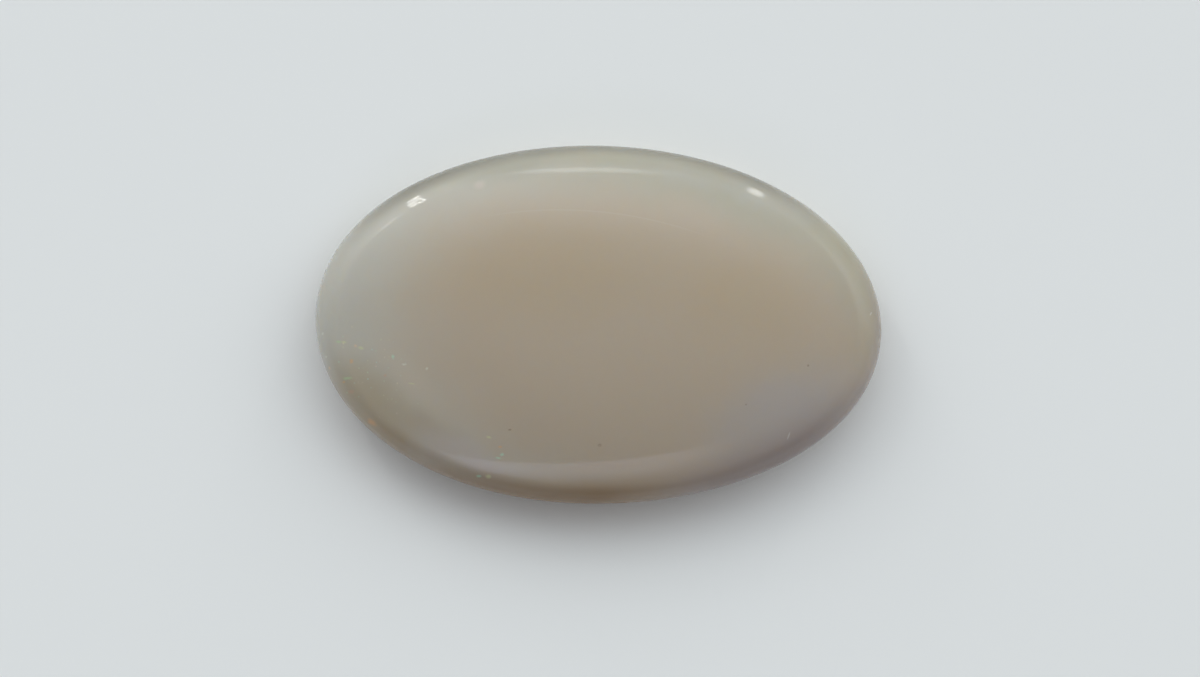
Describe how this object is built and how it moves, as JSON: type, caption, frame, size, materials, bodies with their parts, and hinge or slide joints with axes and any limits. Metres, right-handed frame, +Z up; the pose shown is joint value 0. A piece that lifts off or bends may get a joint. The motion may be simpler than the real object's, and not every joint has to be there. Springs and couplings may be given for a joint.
{
  "type": "oval opal cabochon",
  "caption": "Low-domed oval cabochon of polished milky opal with a rolled rim, an undercut wall and a flat back to rest on or to be set by.",
  "frame": {"origin": "middle of the flat back", "axes": "+Z up through the crown, X along the oval's long way, -Y towards the side that is lowest in the picture"},
  "size_m": [0.03, 0.019, 0.0053],
  "materials": {
    "opal": "polished"
  },
  "bodies": {
    "root": {"opal": "opal"}
  },
  "joints": []
}
